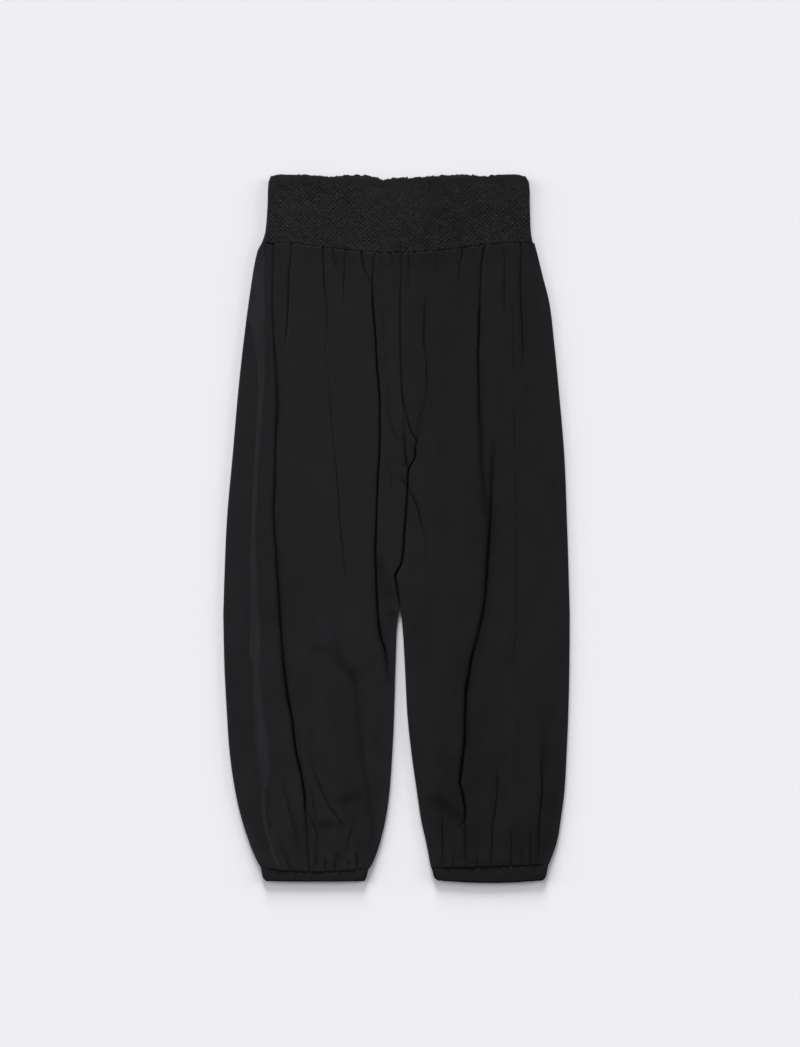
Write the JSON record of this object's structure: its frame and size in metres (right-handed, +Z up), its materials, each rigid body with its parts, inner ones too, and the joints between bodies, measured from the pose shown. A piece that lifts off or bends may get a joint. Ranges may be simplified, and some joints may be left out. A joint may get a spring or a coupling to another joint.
{
  "type": "harem pants",
  "caption": "Loose jersey trousers laid flat, with a wide smocked waistband, a low crotch and full legs gathered into narrow elastic ankle cuffs.",
  "frame": {"origin": "centre of the trousers' bounding box, on the surface that they lie on", "axes": "+X to the wearer's left (to the right in the picture), +Y from the cuffs to the waist, +Z up from the surface, out of the front of the trousers"},
  "size_m": [0.4632, 0.9496, 0.0085],
  "materials": {
    "jersey": "matt black jersey with a faint sheen",
    "smocked_band": "matt black jersey, smocked with elastic thread",
    "elastic_cuff": "matt black jersey over elastic"
  },
  "bodies": {
    "root": {"waistband_front": "smocked_band", "waistband_back": "smocked_band", "right_leg_front": "jersey", "right_leg_back": "jersey", "right_cuff": "elastic_cuff", "left_leg_front": "jersey", "left_leg_back": "jersey", "left_cuff": "elastic_cuff"}
  },
  "joints": []
}
